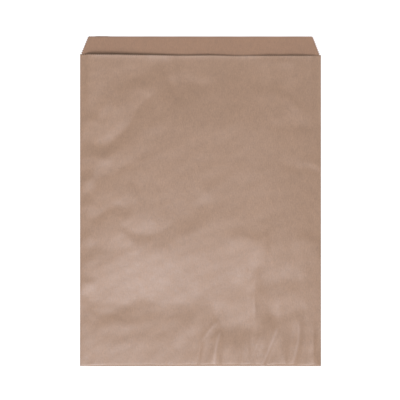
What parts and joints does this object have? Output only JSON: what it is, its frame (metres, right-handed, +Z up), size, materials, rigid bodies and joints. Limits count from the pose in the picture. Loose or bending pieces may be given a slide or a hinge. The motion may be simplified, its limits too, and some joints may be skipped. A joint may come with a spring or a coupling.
{
  "type": "kraft paper bag",
  "caption": "Flat brown kraft paper bag with a serrated open mouth, a tapered back lip, a glued back lap and a turned-up glued bottom, lying on its back panel.",
  "frame": {"origin": "on the surface the bag lies on, under the middle of its outline", "axes": "+X across the bag, +Y from the bottom fold towards the mouth and lip, +Z up out of the front panel"},
  "size_m": [0.216, 0.296, 0.0059],
  "materials": {
    "kraft": "machine-finished kraft with a soft sheen, lightly creased"
  },
  "bodies": {
    "root": {"paper_bag": "kraft"}
  },
  "joints": []
}
